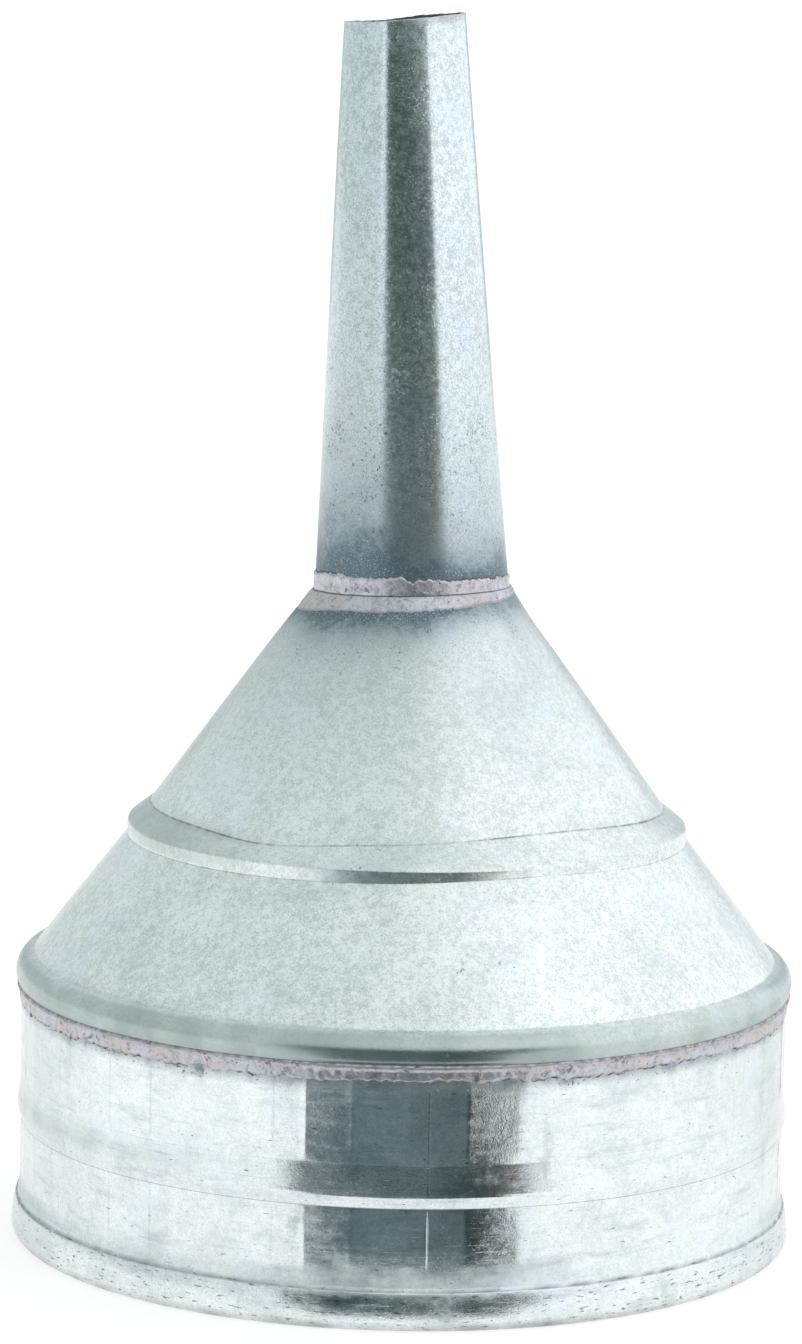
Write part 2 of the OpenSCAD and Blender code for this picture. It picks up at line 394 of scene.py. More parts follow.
class Finish(Nodes):
    """The node tree of a material."""

    def __init__(self, name):
        super().__init__(bpy.data.materials.new(name))
        self.place = self.node("TexCoord", output="Object")
        self.sheet = self.node("TexCoord", output="UV")

    def noise(self, scale, detail=3.0, roughness=0.55, place=None):
        """Noise in space, scale being roughly its blotches per metre."""
        return self.node("TexNoise", {}, {"Vector": place or self.place, "Scale": scale,
                                          "Detail": detail, "Roughness": roughness})

    def drawn(self, across, along, detail=2.0, roughness=0.55):
        """Noise on the flattened sheet, scaled apart along the turn and along the section."""
        place = self.node("Mapping", {}, {"Vector": self.sheet, "Scale": (across, along, 1.0)})
        return self.noise(1.0, detail, roughness, place)

    def mask(self, name):
        return self.node("Attribute", {"attribute_name": name}, output="Fac")

    def blend(self, factor, a, b):
        """A colour mixed from a to b."""
        colours = [c if isinstance(c, Value) else (*c, 1.0) for c in (a, b)]
        return self.node("Mix", {"data_type": "RGBA"},
                         {0: factor, 6: colours[0], 7: colours[1]}, output=2)

    def bump(self, height, distance):
        return self.node("Bump", {}, {"Height": height, "Distance": distance})

    def shaded(self, shader):
        self.node("OutputMaterial", {}, {"Surface": shader})
        return self.owner

    def principled(self, **sockets):
        names = {key.replace("_", " "): value for key, value in sockets.items()}
        return self.node("BsdfPrincipled", {}, names)


def shade(rgb, factor):
    """A colour made lighter or darker."""
    return tuple(min(1.0, c * factor) for c in rgb)


def zinc(name, tone, colours, roughness, grit, pits, relief_mm, worked=False):
    """Weathered galvanised sheet: clouds, a fine mottle and grain, sparse dark pits, a blue-grey
    scorch by the solder and brown in the creases. In places the scorch, the patina and the brown
    are painted shade, as their masks give them. Where it was rolled and handled, worked brings
    scratches, smears and fold lines along the sheet."""
    f = Finish(name)
    broad, cloud = f.noise(20.0, 2.0), f.noise(130.0, 3.0, 0.6)
    mottle, grain = f.noise(700.0, 4.0, 0.7), f.noise(2600.0, 2.0, 0.6)
    scorch_and_shade, grime_and_shade, tarnish_and_shade = f.mask("scorch_and_shade"), f.mask("grime_and_shade"), f.mask("tarnish_and_shade")
    light = broad * 0.7 + cloud + (mottle * 1.5 + grain * 1.6) * grit
    middle = 0.85 + 1.55 * grit     # of light, each noise having its middle at 0.5
    light = light + (0.55 - middle)
    base = f.blend(light.between(-0.2, 1.2), shade(tone, 0.74), shade(tone, 1.11))
    bloom = f.noise(48.0, 4.0, 0.65).between(0.50, 0.78)
    base = f.blend(bloom * 0.32, base, colours.patina_and_shade)
    # Patina where a mask asks: tarnish in places, and in others painted shade, on the -X side and towards
    # the sides.
    base = f.blend(tarnish_and_shade + (cloud - 0.5) * 0.5 * tarnish_and_shade, base, shade(colours.patina_and_shade, 0.92))
    tint = f.noise(75.0, 4.0, 0.65).between(0.50, 0.70)
    base = f.blend(tint * 0.30, base, tuple(c * k for c, k in zip(tone, (0.88, 0.95, 1.06))))
    speck = f.noise(1300.0, 5.0, 0.78) + (cloud - 0.5) * 0.35 + (broad - 0.5) * 0.2
    pit = speck.between(0.60, 0.70)
    marks = pit * (bloom.between(0.0, 0.5) * 0.45 + 0.12) * pits
    relief = mottle * 0.5 + grain * 0.5 - pit * 0.4 * pits
    hole = (f.noise(1700.0, 2.0, 0.6) + (cloud - 0.5) * 0.5).between(0.65, 0.70)
    hole = hole * (scorch_and_shade.between(0.02, 0.3) * 0.8 + 0.10)
    marks, relief = marks + hole, relief - hole * 1.5
    dull = scorch_and_shade * 0.30 + grime_and_shade * 0.3
    if worked:
        scratch = f.drawn(85.0, 2900.0, 3.0, 0.6).between(0.60, 0.72)
        dash = (f.drawn(420.0, 1700.0, 2.0) + f.mask("wear") * 0.07).between(0.67, 0.75)
        smudge = f.drawn(60.0, 300.0, 5.0, 0.70).between(0.50, 0.72)
        patch = f.drawn(105.0, 55.0, 5.0, 0.68).between(0.54, 0.74)
        smear = f.drawn(75.0, 520.0, 4.0, 0.68).between(0.46, 0.70)
        base = f.blend(patch * 0.35, base, shade(colours.patina_and_shade, 0.9))
        base = f.blend(smudge * 0.50, base, colours.smear)
        marks = marks + scratch * 0.25 + dash * 0.75 + f.mask("fold") * 0.3
        relief = relief + cloud * 2.0 - scratch * 0.25
        dull = dull + smear * 0.11 + patch * 0.20 + f.mask("haze") * 0.30 + (cloud - 0.5) * 0.25
    base = f.blend(marks.between(0.0, 1.0), base, shade(colours.patina_and_shade, 0.40))
    spark = f.noise(3300.0, 2.0).between(0.56, 0.68) * scorch_and_shade.between(0.25, 0.8)
    scorch_and_shade_tone = f.blend(spark * 0.55, colours.scorch_and_shade, shade(tone, 0.8))
    patchy = (mottle - 0.5) * 1.6 + cloud + 0.85
    # The blue-grey scorch beside the solder, which on the -X side is partly painted shade.
    base = f.blend((patchy * scorch_and_shade).between(0.0, 1.1), base, scorch_and_shade_tone)
    # Darker brown where a mask asks: grime in places, and painted shade under the curl, over the rim's
    # crease and inside the spout's tip.
    base = f.blend(grime_and_shade, base, colours.stain_and_shade)
    return f.shaded(f.principled(
        Base_Color=base, Metallic=1.0 - grime_and_shade * 0.8 - scorch_and_shade * 0.25,
        Roughness=(mottle - 0.5) * 0.12 + dull + roughness, Normal=f.bump(relief, relief_mm * MM),
    ))


def soft_solder(name, colours):
    """Old soft solder: pinkish grey, dull and lumpy, with bright high spots and dark pinholes."""
    f = Finish(name)
    warm, lump = f.noise(90.0, 3.0), f.noise(480.0, 4.0, 0.65)
    grain, grime_and_shade = f.noise(2100.0, 3.0, 0.65), f.mask("grime_and_shade")
    pin = f.noise(700.0, 4.0, 0.72).between(0.58, 0.68)
    light = lump * 1.9 + grain * 1.5 + warm * 0.4 - 1.4
    tone = f.blend(warm.between(0.46, 0.66), colours.solder, colours.solder_warm)
    base = f.blend(light.between(-0.15, 0.75), shade(colours.solder, 0.5), tone)
    base = f.blend(pin * 0.8, base, shade(colours.solder, 0.22))
    # Darker where a mask asks; just above the neck solder's upper edge that is painted shadow.
    base = f.blend(grime_and_shade, base, shade(colours.stain_and_shade, 0.4))
    return f.shaded(f.principled(
        Base_Color=base, Metallic=0.9 - grime_and_shade * 0.6, Roughness=(lump - 0.5) * 0.35 + grime_and_shade * 0.3 + 0.36,
        Normal=f.bump(lump * 0.8 + grain * 0.35 - pin * 0.6, 0.12 * MM),
    ))


def dull_metal(name, tone, roughness, scale=700.0):
    """Plain strip or wire gone dull, cloudy and faintly drawn."""
    f = Finish(name)
    cloud, mottle = f.noise(90.0, 3.0), f.noise(scale, 4.0, 0.65)
    light = (cloud * 1.2 + mottle * 1.4 - 0.75).between(0.0, 1.0)
    base = f.blend(light, shade(tone, 0.55), shade(tone, 1.15))
    return f.shaded(f.principled(
        Base_Color=base, Metallic=1.0, Roughness=(mottle - 0.5) * 0.3 + roughness,
        Normal=f.bump(mottle, 0.02 * MM),
    ))


# ---- sheets ----

def spout_r(shape, z):
    """Outside radius of the spout, which falls evenly with the height above the neck."""
    return shape.spout_base + (shape.spout_tip - shape.spout_base) * z / shape.spout_len


def lap_step(a, middle, width, rise):
    """A lapped seam's upper layer: it rises over rise, runs for width and ends in a cut edge."""
    d = np.mod(a - middle + math.pi, TURN) - math.pi
    return smooth(d, -width / 2 - rise, -width / 2) * (d < width / 2)


def collar_outline(s):
    """The collar's outside, upwards: the curl, the rim's swell, its flare, the wall and the bead."""
    wall = s.mouth - s.rim_bulge
    curl = np.array([s.mouth - s.curl, s.curl - 0.1 * MM])
    flat = math.degrees(math.acos(curl[1] / s.curl))
    foot_tilt, top_tilt = 4, 12     # of the rim's face, in degrees
    fillet = 0.4 * MM
    foot, top = unit(foot_tilt), unit(top_tilt)
    crest = s.rim_h - 0.1 * MM - fillet
    swell = (crest - curl[1] - s.curl * foot[1]) / (top[1] - foot[1])
    face = arc(curl + (s.curl - swell) * foot, swell, foot_tilt, top_tilt, 1)
    corner = face[-1] - fillet * top
    flare = sweep_r(s.rim_flare_h, s.rim_flare)
    nose_r = 1.6 * MM
    nose = (wall + s.bead_out - nose_r, s.bead_z + 2.6 * MM)
    below = -tangent_angle((nose[0], 0), nose_r, (wall, nose[1] - s.bead_z))
    above = tangent_angle(nose, nose_r, (wall, s.bead_z + s.bead_h))
    return np.vstack([
        arc(curl, s.curl, -265, -90 - flat),
        arc(curl, s.curl, -90 + flat, foot_tilt),
        face[1:],
        arc(corner, fillet, top_tilt, 84, 12)[1:],
        arc((wall + flare, s.rim_h + s.rim_flare_h), flare,
            180 + math.degrees(math.asin(s.rim_flare_h / flare)), 180, 2)[1:],
        [(wall, s.bead_z)],
        arc(nose, nose_r, below, above, 5),
        [(wall, s.bead_z + s.bead_h), (wall, s.shoulder_z - 1.2 * MM)],
    ])


def cone_outline(s):
    """The cone's outside, upwards: skirt, shoulder, lower cone, strainer seat, upper cone, neck."""
    wall = s.mouth - s.rim_bulge
    skirt = wall + s.sheet + LAP_GAP
    centre = (wall + s.shoulder_out - s.shoulder_r, s.shoulder_z)
    low = -math.degrees(math.acos((skirt - centre[0]) / s.shoulder_r))
    nose_r = 1.2 * MM
    nose = (s.seat_r - nose_r, s.seat_z + s.seat_h + 0.3 * MM)
    top = (s.seat_top_r, s.seat_top_z)
    flange = s.spout_base - s.sheet - 0.4 * MM
    shoulder = arc(centre, s.shoulder_r, low, 84, 5)
    return np.vstack([
        [(skirt, shoulder[0, 1] - 1.0 * MM)],
        shoulder,
        [(s.seat_r, s.seat_z)],
        arc(nose, nose_r, 0, tangent_angle(nose, nose_r, top), 8),
        [top, (s.neck_r, s.neck_z), (flange, s.neck_z + 0.2 * MM),
         (flange - 0.4 * MM, s.neck_z + 5.7 * MM)],
    ])


def sheet_grid(a, outline, thickness, spacing):
    """A closed section: the outside upwards, the raw edge, and the inside back down. With it come 1
    on the outside's points and 0 on the inside's, and its radii and heights at each angle."""
    outside = fine(outline, spacing)
    inside = fine(beside(outline, thickness)[::-1], 3 * spacing)
    section = np.vstack([outside, inside])
    r, z = (np.tile(side, (len(a), 1)) for side in section.T)
    return section, np.repeat([1.0, 0.0], [len(outside), len(inside)]), r, z


def crease(z, height, width):
    """1 on a crease at a height, fading to 0 within width of it."""
    return np.clip(1 - np.abs(z - height) / width, 0, 1)


def neck_tilt(shape, x, z):
    """How far the cone's neck is lifted to meet the leaning spout: x * tan(lean), fading out
    below the neck."""
    return smooth(z, shape.neck_z - 7 * MM, shape.neck_z) * x * math.tan(shape.lean)


def solder_top(a):
    """Height above the neck that the solder reaches up the spout: lower at the sides, with a notch
    at the front."""
    front = from_front(a)
    rise = 2.9 + 0.95 * smooth(-np.abs(front + 8), -95, -40) + 0.24 * waver(a, 51, 3, 140, 0.55)
    return (rise - 0.6 * hump(front, 1.0, 1.6) + 0.3 * hump(front, -6, 4)) * MM


def solder_foot(a):
    """How far the solder reaches down the cone: further on the -X side."""
    side = np.sin(np.radians(from_front(a)))
    reach = 2.7 - 1.3 * np.clip(side, 0, 1) + 2.2 * np.clip(-side, 0, 1) ** 4
    return (reach + 0.16 * waver(a, 53, 3, 70, 0.6)) * MM


class FUNNEL_OT_spout(Operator):
    """Roll the tapered spout, with its soldered seam at the back and its hand-cut tip."""
    bl_idname = "funnel.spout"
    bl_label = "Spout"

    def execute(self, context):
        s, colours = context.scene.funnel_shape, context.scene.funnel_finish
        a = around()
        at = a[:, None]
        outline = np.array([(spout_r(s, z), z) for z in (0.9 * MM, s.spout_len)])
        section, outer, r, z = sheet_grid(a, outline, s.sheet, 1.6 * MM)
        seam = s.lap / SPOUT_MID
        r += outer * s.sheet * lap_step(at, BACK, seam, seam)
        rise = smooth(z, 0.2 * s.spout_len, s.spout_len)
        r += 0.10 * MM * (np.cos(2 * a + 0.5) + 0.6 * waver(a, 3, 3, 6))[:, None] * rise
        r += 0.035 * MM * np.cos(3 * at + z / (21 * MM))
        side, back = np.cos(at), np.sin(at)
        # The tip's cut edge rises towards +X, a little more at the back.
        cut = 1.25 * np.clip((side + 0.35) / 1.35, 0, 1) - 0.50
        cut = cut + 0.16 * (1 + back) * smooth(side, -0.5, 0.2) + 0.05 * waver(at, 5, 6, 60, 0.6)
        z += cut * MM * smooth(z, s.spout_len - 6 * MM, s.spout_len - 0.3 * MM)
        points = leaning(turned(a, r, z), s)
        front = from_front(at)
        left = smooth(-front, -40, 40) * (np.abs(front) < 120)
        above = np.clip((z - solder_top(at)) / MM, 0, None)
        # Scorch that fades with the height above the solder, fast at first and then slowly; more of it on
        # the -X side, which is painted shade.
        scorch_and_shade = (0.45 + 0.10 * left) * np.exp(-above / (3.5 + 2.0 * left))
        scorch_and_shade += (0.40 + 0.16 * left) * np.exp(-above / 38)
        # Darker along the tip's cut edge; inside the tip, painted shade where the tube's inside is in shade.
        lip = smooth(z, s.spout_len - 0.7 * MM, s.spout_len) * 0.3
        tip_inner_shade = (1 - outer) * smooth(z, 0.80 * s.spout_len, s.spout_len) * 0.8
        # The patina on the -X side is painted shade.
        piece = put_grid("spout_tube", points, uv=sheet_uv(a, section, SPOUT_MID),
                         masks={"scorch_and_shade": scorch_and_shade * outer, "grime_and_shade": lip + tip_inner_shade, "tarnish_and_shade": 0.10 * left})
        material = zinc("spout_sheet", colours.spout, colours, 0.16, 2.6, 2.4, 0.007)
        finished(piece, material, "funnel", "spout")
        return {"FINISHED"}


class FUNNEL_OT_cone(Operator):
    """Form the cone, with its rounded shoulder and the step that seats the strainer."""
    bl_idname = "funnel.cone"
    bl_label = "Cone"

    def execute(self, context):
        s, colours = context.scene.funnel_shape, context.scene.funnel_finish
        a = np.unique(np.append(around(), BACK + TURN * (1e-6 + np.linspace(0, 1e-3, 5))))
        at = a[:, None]
        section, outer, r, z = sheet_grid(a, cone_outline(s), s.sheet, 2.2 * MM)
        flat_z = z.copy()
        front = from_front(at)
        nose_z = s.seat_z + s.seat_h
        slope = (s.seat_top_r - s.neck_r) / (s.neck_z - s.seat_top_z)
        start = nose_z + 1.2 * MM
        up = np.minimum(np.clip((flat_z - start) / (s.seat_top_z - start), 0, 1),
                        np.clip((s.neck_z - flat_z) / (s.neck_z - s.seat_top_z), 0, 1))
        # The upper crease wanders, and so, less and less, does the cone up to the neck.
        wander = (1.8 * hump(front, 34, 30) - 1.1 * hump(front, -32, 15)) * MM
        z += up * wander
        r -= up * wander * slope
        foot_z = s.shoulder_z + s.shoulder_r
        low = np.minimum(np.clip((flat_z - foot_z) / (s.seat_z - foot_z), 0, 1),
                         np.clip((nose_z - flat_z) / s.seat_h, 0, 1))
        dip = 1.1 * hump(front, 24, 26) - 0.4 * hump(front, -34, 20) + 0.12 * waver(at, 11, 3, 7)
        z += low * dip * MM
        on_cone = smooth(flat_z, foot_z, foot_z + 10 * MM)
        on_cone = on_cone * smooth(-flat_z, -s.neck_z + 4 * MM, -s.neck_z + 14 * MM)
        dents = waver(at, 13, 2, 7) + np.cos(4 * at + flat_z / (9 * MM))
        r += on_cone * 0.10 * MM * dents
        z += neck_tilt(s, r * np.cos(at), flat_z)
        gap = (np.mod(at - BACK + 1, TURN) - 1) * section[:, 0]
        r -= 0.15 * MM * hump(gap, 0.1 * MM, 0.15 * MM) * outer
        points = turned(a, r, z)
        # Darker along the creases and along the seam, scorch below the solder, tarnish on the step; the
        # parts of these that are painted shade are marked below.
        dark_strength = 0.75 + 0.35 * waver(at, 17, 2, 160, 0.3)
        thick = hump(front, -48, 20) + 0.6 * hump(front, 62, 20)
        grime_and_shade = crease(flat_z, s.seat_top_z, 0.14 * MM) * 0.75
        grime_and_shade = grime_and_shade + thick * crease(flat_z, s.seat_top_z, 0.5 * MM) * 0.45
        grime_and_shade += crease(flat_z, s.seat_z, 0.12 * MM) * 0.55
        grime_and_shade += hump(gap, 0.1 * MM, 0.2 * MM) * 0.35
        drop = 0.81                 # the upper cone's fall along each unit of its slant
        below = ((s.neck_z - flat_z) / drop - solder_foot(at)) / MM
        blotch = 0.95 + 0.12 * waver(at, 19, 2, 9, 0.5)
        fade = np.exp(-np.clip(below, 0, None) / (5.6 * blotch))
        scorch_and_shade = (0.92 - 0.2 * smooth(front, 10, 60)) * blotch * fade
        # Painted shade: a broad darker band on the -X side of the upper cone.
        scorch_and_shade += 0.10 * smooth(-front, -30, 30) * smooth(flat_z, s.neck_z - 34 * MM, s.neck_z - 6 * MM)
        # Tarnish on the shoulder's roll and the skirt, partly painted shade: more towards both sides and on
        # the roll's lower half, and less at 45 degrees towards +X, a painted highlight.
        roll_tarnish_and_shade = 0.72 + 0.10 * waver(at, 18, 2, 60, 0.5)
        roll_tarnish_and_shade = roll_tarnish_and_shade + 0.18 * smooth(np.abs(front), 36, 81) - 0.2 * hump(front, 45, 26)
        tarnish_and_shade = smooth(-flat_z, -foot_z - 0.2 * MM, -foot_z + 0.9 * MM) * roll_tarnish_and_shade
        tarnish_and_shade *= 1 + 0.3 * smooth(-flat_z, -s.shoulder_z - 1.5 * MM, -s.shoulder_z)
        # Painted shade along the top of the shoulder on the -X side.
        grime_and_shade += crease(flat_z, foot_z, 0.5 * MM) * 0.22 * smooth(-front, 0, 50)
        step = smooth(flat_z, s.seat_z, s.seat_z + 0.5 * MM) * (flat_z < s.seat_top_z)
        # Painted shade: tarnish on the step's -X side.
        tarnish_and_shade += 0.55 * step * smooth(-front, 20, 60)
        tarnish_and_shade += 0.10 * hump(flat_z, s.seat_top_z - 2.5 * MM, 3 * MM)
        tarnish_and_shade += 0.34 * smooth(flat_z, s.seat_z - 4 * MM, s.neck_z - 8 * MM)
        piece = put_grid("cone_shell", points, uv=sheet_uv(a, section, 50 * MM),
                         masks={"scorch_and_shade": scorch_and_shade * outer, "grime_and_shade": grime_and_shade * dark_strength * outer,
                                "tarnish_and_shade": tarnish_and_shade * outer + 0.4 * (1 - outer)})
        material = zinc("cone_sheet", colours.cone, colours, 0.29, 1.8, 1.3, 0.02)
        finished(piece, material, "funnel", "cone")
        return {"FINISHED"}


class FUNNEL_OT_collar(Operator):
    """Roll the collar, with its swaged bead and the rim curled inwards over the wire."""
    bl_idname = "funnel.collar"
    bl_label = "Collar"

    def execute(self, context):
        s, colours = context.scene.funnel_shape, context.scene.funnel_finish
        wall = s.mouth - s.rim_bulge
        edges = flat_edges(seed=23, count=58)
        shares = np.array([0, 0.05, 0.2, 0.4, 0.6, 0.8, 0.95])
        seam = FRONT + math.radians(COLLAR_SEAM) + np.linspace(-0.3, 0.3, 7) * MM / wall
        a = (edges[:-1, None] + np.diff(edges)[:, None] * shares).ravel()
        a = np.unique(np.append(a, np.mod(seam - BACK, TURN) + BACK))
        at = a[:, None]
        section, outer, r, z = sheet_grid(a, collar_outline(s), s.sheet, 2.4 * MM)
        flare_z, bead_top = s.rim_h + s.rim_flare_h, s.bead_z + s.bead_h
        above = smooth(z, bead_top, bead_top + 1.5 * MM)
        below = smooth(z, flare_z - 3 * MM, flare_z) * smooth(-z, -s.bead_z, -s.bead_z + 1 * MM)
        r += (above + below) * (flats(edges, a, wall) + 0.10 * MM * waver(a, 31, 3, 11))[:, None]
        front = from_front(at)
        joint = np.radians(front - COLLAR_SEAM) * wall
        r -= (0.03 + 0.11 * below) * MM * hump(joint, 0, 0.12 * MM) * outer * smooth(z, s.rim_h, flare_z)
        points = turned(a, r, z)
        # Darker along the bead's lower and upper edges.
        grime_and_shade = crease(z, s.bead_z, 0.12 * MM) * 0.6 + crease(z, bead_top, 0.12 * MM) * 0.12
        # At the rim's crease: painted shade where its fillet would catch a highlight, with grime specks, its
        # strength wavering round the rim.
        dark_strength = 0.5 + 0.2 * waver(at, 33, 20, 160, 0.1)
        grime_and_shade += crease(z, s.rim_h - 0.15 * MM, 0.28 * MM) * dark_strength
        # Painted shade on the underside of the curl.
        grime_and_shade += smooth(-z, -2.4 * MM, -0.6 * MM) * (0.32 + 0.16 * waver(at, 37, 3, 90, 0.3))
        top = s.shoulder_z - 6.0 * MM
        drip = np.clip(waver(a, 41, 20, 200, 0.1), 0, 2)[:, None]
        scorch_and_shade = smooth(z, top - (1.0 + 1.4 * drip) * MM, top) * (0.40 + 0.14 * drip)
        strength = np.random.default_rng(43).uniform(0, 1, len(edges)) ** 2
        near = np.abs(at - edges[None, :]) < 0.06 * MM / wall
        fold = (near * strength).max(axis=1)[:, None] * (above * (z < top) + below)
        # Painted shade: darker towards both sides, away from the front, less on the flare.
        tarnish_and_shade = 0.42 * smooth(np.abs(front), 45, 80) * (1 - 0.5 * below)
        # Painted shade: a band on the bead's upper facet on the -X side.
        facet = hump(z, s.bead_z + 5 * MM, 2.2 * MM) * smooth(-front, 20, 45)
        tarnish_and_shade = tarnish_and_shade + facet * (0.32 + 0.14 * waver(at, 39, 5, 60, 0.3))
        piece = put_grid("collar_band", points, uv=sheet_uv(a, section, wall),
                         masks={"scorch_and_shade": scorch_and_shade * outer, "grime_and_shade": grime_and_shade * outer, "fold": fold * outer,
                                "tarnish_and_shade": 0.3 * (1 - outer) + tarnish_and_shade * outer,
                                "haze": hump(z, s.rim_h + 1.6 * MM, 2.6 * MM) * outer,
                                "wear": smooth(-z, -s.rim_h - 1 * MM, -s.rim_h) * outer})
        material = zinc("collar_sheet", colours.collar, colours, 0.15, 0.8, 0.5, 0.025, worked=True)
        finished(piece, material, "funnel", "collar")
        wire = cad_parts["rim_wire"]
        wire.data.materials.clear()
        wire.data.materials.append(dull_metal("steel_wire", colours.wire, 0.38))
        return {"FINISHED"}


# ---- solder ----

class FUNNEL_OT_solder(Operator):
    """Run the solder round the neck, under the shoulder and along the seams."""
    bl_idname = "funnel.solder"
    bl_label = "Solder"

    def neck(self, s):
        """A band up the spout and one down the cone, meeting in a sharp corner, with a dark line
        beyond each edge; the one above the upper edge is painted shadow. The upper band's points are
        the spout's surface moved out by the solder's thickness. The lower band's lie on the line from
        the corner to its edge on the cone, moved out by thickness * sin(pi t)^0.6, t the way along it."""
        a = around(count=960)
        tilt = math.tan(s.lean)
        front = np.clip(-np.sin(a), 0, 1)
        top = (solder_top(a) - s.spout_base * np.cos(a) * tilt)[:, None]
        low = (0.10 + 0.55 * front + 0.03 * waver(a, 52, 2, 30, 0.6))[:, None] * MM
        t = np.array([0, 0.03, 0.07, 0.18, 0.3, 0.42, 0.54, 0.66, 0.77, 0.86, 0.93, 0.975, 1.0])
        z_up = low + (top - low) * t
        thick = np.array([0.16, 0.24, 0.28, 0.26, 0.25, 0.25, 0.25, 0.27, 0.32, 0.36, 0.34, 0.24, 0.04])
        rough = lumps(a[:, None], 20 * MM, z_up, 57, 2.2 * MM) * np.sin(math.pi * t)
        r_up = spout_r(s, z_up) + (thick + 0.045 * rough) * MM
        beyond = top + np.array([0.08, 0.40, 0.44]) * MM
        r_beyond = spout_r(s, beyond) + np.array([0.03, 0.02, -0.08]) * MM
        spout = leaning(turned(a, np.hstack([r_up, r_beyond]), np.hstack([z_up, beyond])), s)
        corner = spout[:, 0]
        slope = np.array([s.seat_top_r - s.neck_r, s.seat_top_z - s.neck_z])
        slope /= np.linalg.norm(slope)
        foot = solder_foot(a)[:, None]

        def skin(reach, inset=0.0):
            r, z = s.neck_r - inset + reach * slope[0], s.neck_z + reach * slope[1]
            return turned(a, r, z + neck_tilt(s, r * np.cos(a)[:, None], z))

        edge = skin(foot)[:, 0]
        t = np.array([0.05, 0.12, 0.24, 0.36, 0.48, 0.6, 0.72, 0.83, 0.92, 0.97, 1.0])
        rise = 0.24 * np.sin(math.pi * np.clip(t, 0.03, 0.985)) ** 0.6
        rise = (rise + 0.05 * lumps(a[:, None], 21 * MM, t * foot, 58, 2.2 * MM) * np.sin(math.pi * t)) * MM
        out = np.stack([-slope[1] * np.cos(a), -slope[1] * np.sin(a), slope[0] + 0 * a], axis=-1)
        out = out[:, None]
        cone = corner[:, None] + (edge - corner)[:, None] * t[:, None]
        sunk = np.clip(np.sum((skin(t * foot) - cone) * out, axis=-1), 0, None)
        cone = cone + out * (rise + sunk)[..., None]
        past = skin(foot + np.array([0.25, 0.30]) * MM) + out * (np.array([0.02, -0.08]) * MM)[:, None]
        bury = np.stack([skin(0 * foot, 0.6 * MM)[:, 0],
                         leaning(turned(a, s.spout_base - 0.25 * MM, 1.2 * MM + 0 * foot), s)[:, 0]], axis=1)
        points = np.concatenate([spout[:, ::-1], cone, past, bury], axis=1)
        # Darkening per column of the band: painted shadow just above the upper edge, a dark line at the
        # corner, and darker along the lower edge and just past it.
        dark = np.array([0, 0.75, 0.95, 0.25] + [0] * 10 + [0.4, 1.0, 0.5] + [0] * 8
                        + [0.15, 0.35, 0.25, 0, 0, 0])
        return put_grid("neck_solder_ring", points, masks={"grime_and_shade": dark[None, :]})

    def shoulder(self, s):
        """A band from the skirt's face down to the collar's wall, with an uneven lower edge, runs
        below it in places, and a dark line beyond that edge."""
        a = around(count=1200)
        wall = s.mouth - s.rim_bulge
        skirt = wall + s.sheet + LAP_GAP
        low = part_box("shoulder_solder")[0].z + 0.25 * MM
        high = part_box("cone")[0].z + 0.75 * MM
        runs = np.clip(waver(a, 64, 30, 240, 0.0) - 1.3, 0, 1.2)
        ragged = 0.34 * waver(a, 61, 2, 60, 0.6) + 0.20 * waver(a, 62, 40, 260, 0.1)
        base = np.maximum(low + (ragged - 0.7 * runs - 0.55) * MM, low - 2.0 * MM)[:, None]
        t = np.array([0, 0.03, 0.09, 0.18, 0.3, 0.42, 0.54, 0.66, 0.76, 0.86, 0.94, 1.0])
        z = base + (high - base) * t
        step = smooth(z, high - 1.5 * MM, high - 0.6 * MM)
        swell = np.minimum(1, 7 * t) ** 0.5 * np.minimum(1, 6 * (1 - t)) ** 0.5 * 0.30 + 0.02
        rough = 0.05 * lumps(a[:, None], wall, z, 65, 2.4 * MM) * np.sin(math.pi * t)
        r = wall + (skirt - wall) * step + (swell + rough) * MM
        past = base - np.array([0.22, 0.28]) * MM
        skin = wall + np.array([0.02, -0.1]) * MM + 0 * past
        bury = turned(a, np.array([skirt - 0.1 * MM, wall - 0.1 * MM]),
                      np.array([high, high - 1.2 * MM]) + 0 * base)
        points = np.concatenate([turned(a, skin[:, ::-1], past[:, ::-1]), turned(a, r, z), bury], axis=1)
        speck = np.clip(0.5 + 0.5 * waver(a, 66, 30, 300, 0.1), 0, 1)[:, None]
        dark = np.array([0, 1.0, 0.9, 0.5, 0.12, 0, 0, 0, 0, 0, 0.05, 0.3, 0.55, 0.5, 0, 0])
        grime_and_shade = dark * np.where(np.abs(np.arange(len(dark)) - 8) > 3, speck, 1.0)
        return put_grid("shoulder_solder_ring", points, masks={"grime_and_shade": grime_and_shade})

